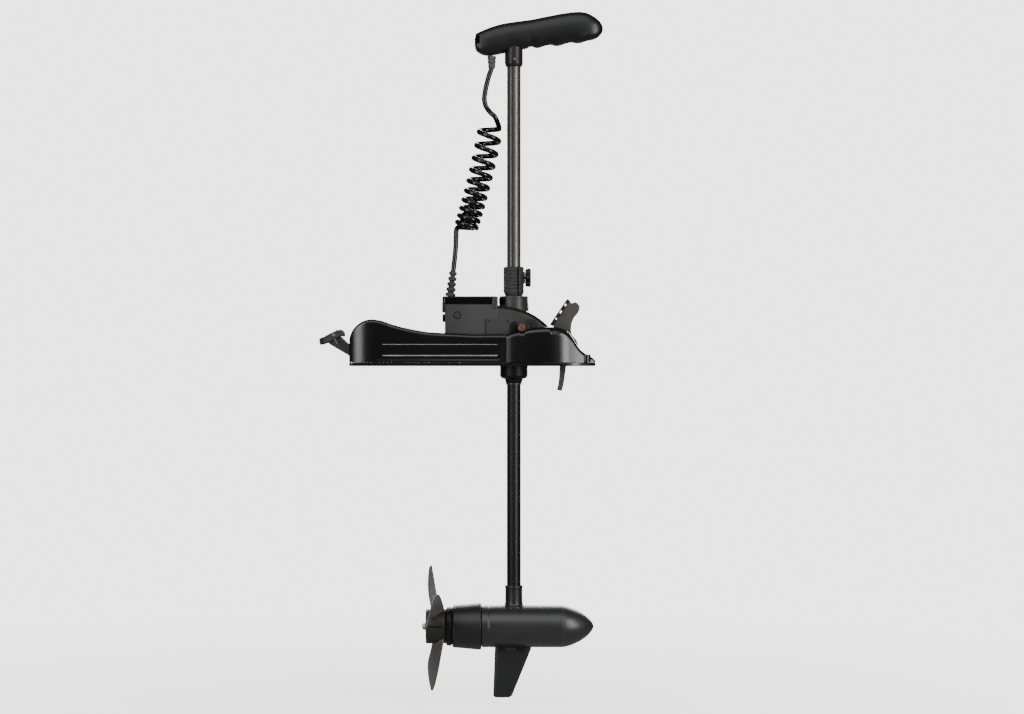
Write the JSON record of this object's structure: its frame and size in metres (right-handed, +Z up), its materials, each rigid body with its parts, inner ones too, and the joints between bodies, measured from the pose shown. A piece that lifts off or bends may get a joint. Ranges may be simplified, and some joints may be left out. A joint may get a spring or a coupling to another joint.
{
  "type": "trolling motor",
  "caption": "Bow-mount electric trolling motor with a tilting deck mount, steered shaft, depth collar, coiled cord, propeller and skeg.",
  "frame": {"origin": "centre of the deck plate's underside, on the boat's deck", "axes": "+X towards the bow, +Y to port, +Z up along the shaft; the mount's left side is port"},
  "size_m": [0.6265, 0.2742, 1.522],
  "materials": {
    "gloss_black": "gloss black coat on cast aluminium",
    "lid_black": "gloss black moulding",
    "matte_grey": "fine-grained dark grey moulding",
    "head_black": "soft black sheen",
    "satin_steel": "satin gunmetal",
    "motor_paint": "satin dark grey paint",
    "prop_grey": "satin warm grey moulding",
    "rubber": "dull black",
    "cord_black": "shiny black jacket",
    "steel": "bright steel",
    "copper": "dull copper colour",
    "brass": "plain brass",
    "board_green": "green circuit board"
  },
  "bodies": {
    "base": {"deck_plate": "gloss_black", "side_rail_left": "gloss_black", "side_rail_right": "gloss_black", "front_casting_left": "gloss_black", "front_casting_right": "gloss_black", "deck_screw_front_left": "steel", "deck_screw_front_right": "steel", "deck_screw_rear_left": "steel", "deck_screw_rear_right": "steel", "tilt_pin": "steel", "stow_bumper": "rubber", "pedal_bracket": "gloss_black", "pedal_pin": "steel"},
    "gearbox": {"gearbox_housing": "matte_grey", "gearbox_lid": "lid_black", "cheek_left": "matte_grey", "cheek_right": "matte_grey", "latch_pin_left": "copper", "latch_pin_right": "copper", "tilt_bush": "brass", "steering_motor": "steel", "control_board": "board_green", "power_inlet": "rubber", "sleeve_bearing_lower": "steel", "sleeve_bearing_upper": "steel", "cord_gland": "rubber", "cord_tail_lower": "cord_black", "cord_coil_lower": "cord_black"},
    "pinion": {"steering_pinion": "brass"},
    "steering": {"steering_sleeve": "steel", "steering_collar": "matte_grey", "lower_collar": "matte_grey", "steering_gear": "steel", "cord_coil_upper": "cord_black"},
    "shaft": {"shaft_tube": "satin_steel", "head_shell": "head_black", "head_collar": "matte_grey", "head_screw": "steel", "head_gland": "rubber", "cord_tail_upper": "cord_black", "motor_tube": "motor_paint", "nose_cone": "motor_paint", "rear_end_cap": "motor_paint", "shaft_neck": "motor_paint", "skeg": "motor_paint", "field_magnets": "steel", "rear_bearing": "steel", "front_bush": "brass"},
    "rotor": {"rotor_shaft": "steel", "armature": "copper", "propeller": "prop_grey", "propeller_nut": "brass"},
    "depth_collar": {"depth_collar": "matte_grey"},
    "knob": {"clamp_knob": "rubber"},
    "pedal": {"pedal_arm": "matte_grey", "pedal_pad": "rubber"},
    "rod": {"pull_rod": "steel"},
    "hook": {"latch_hook": "matte_grey"},
    "guide_left": {"stow_guide_left": "matte_grey"},
    "guide_right": {"stow_guide_right": "matte_grey"}
  },
  "joints": [
    {"name": "tilt", "type": "hinge", "parent": "base", "child": "gearbox", "pos_m": [0.072, 0, 0.038], "axis": [0, -1, 0], "range_deg": [0, 90]},
    {"name": "steer", "type": "hinge", "parent": "gearbox", "child": "steering", "pos_m": [0.204, 0, 0], "axis": [0, 0, 1], "range_deg": [-180, 180], "deforming": ["cord_coil_lower"]},
    {"name": "pinion_spin", "type": "hinge", "parent": "gearbox", "child": "pinion", "pos_m": [0.162, 0, 0.048], "axis": [0, 0, 1], "range_deg": [-460, 460]},
    {"name": "depth", "type": "slide", "parent": "steering", "child": "shaft", "axis": [0, 0, 1], "range_m": [0, 0.25], "deforming": ["cord_coil_upper"]},
    {"name": "prop_spin", "type": "hinge", "parent": "shaft", "child": "rotor", "pos_m": [0.204, 0, -0.578], "axis": [1, 0, 0], "continuous": true},
    {"name": "collar_slide", "type": "slide", "parent": "shaft", "child": "depth_collar", "axis": [0, 0, 1], "range_m": [0, 0.28]},
    {"name": "knob_turn", "type": "hinge", "parent": "depth_collar", "child": "knob", "pos_m": [0.229, 0, 0.196], "axis": [1, 0, 0], "range_deg": [-180, 180]},
    {"name": "pedal_press", "type": "hinge", "parent": "base", "child": "pedal", "pos_m": [-0.138, 0, 0.018], "axis": [0, -1, 0], "range_deg": [0, 10]},
    {"name": "rod_pull", "type": "slide", "parent": "base", "child": "rod", "axis": [-1, 0, 0], "range_m": [0, 0.002]},
    {"name": "hook_turn", "type": "hinge", "parent": "base", "child": "hook", "pos_m": [0.244, 0, 0.016], "axis": [0, -1, 0], "range_deg": [0, 9]},
    {"name": "guide_flex_left", "type": "hinge", "parent": "base", "child": "guide_left", "pos_m": [0.335, 0, 0.047], "axis": [0, -1, 0], "range_deg": [-10, 10], "stiffness_Nm_per_rad": 5},
    {"name": "guide_flex_right", "type": "hinge", "parent": "base", "child": "guide_right", "pos_m": [0.335, 0, 0.047], "axis": [0, -1, 0], "range_deg": [-10, 10], "stiffness_Nm_per_rad": 5}
  ],
  "couplings": [
    {"joint": "pinion_spin", "follows": "steer", "ratio": -2.5},
    {"joint": "rod_pull", "follows": "pedal_press", "m_per_rad": 0.01},
    {"joint": "hook_turn", "follows": "pedal_press", "ratio": 0.8333}
  ]
}
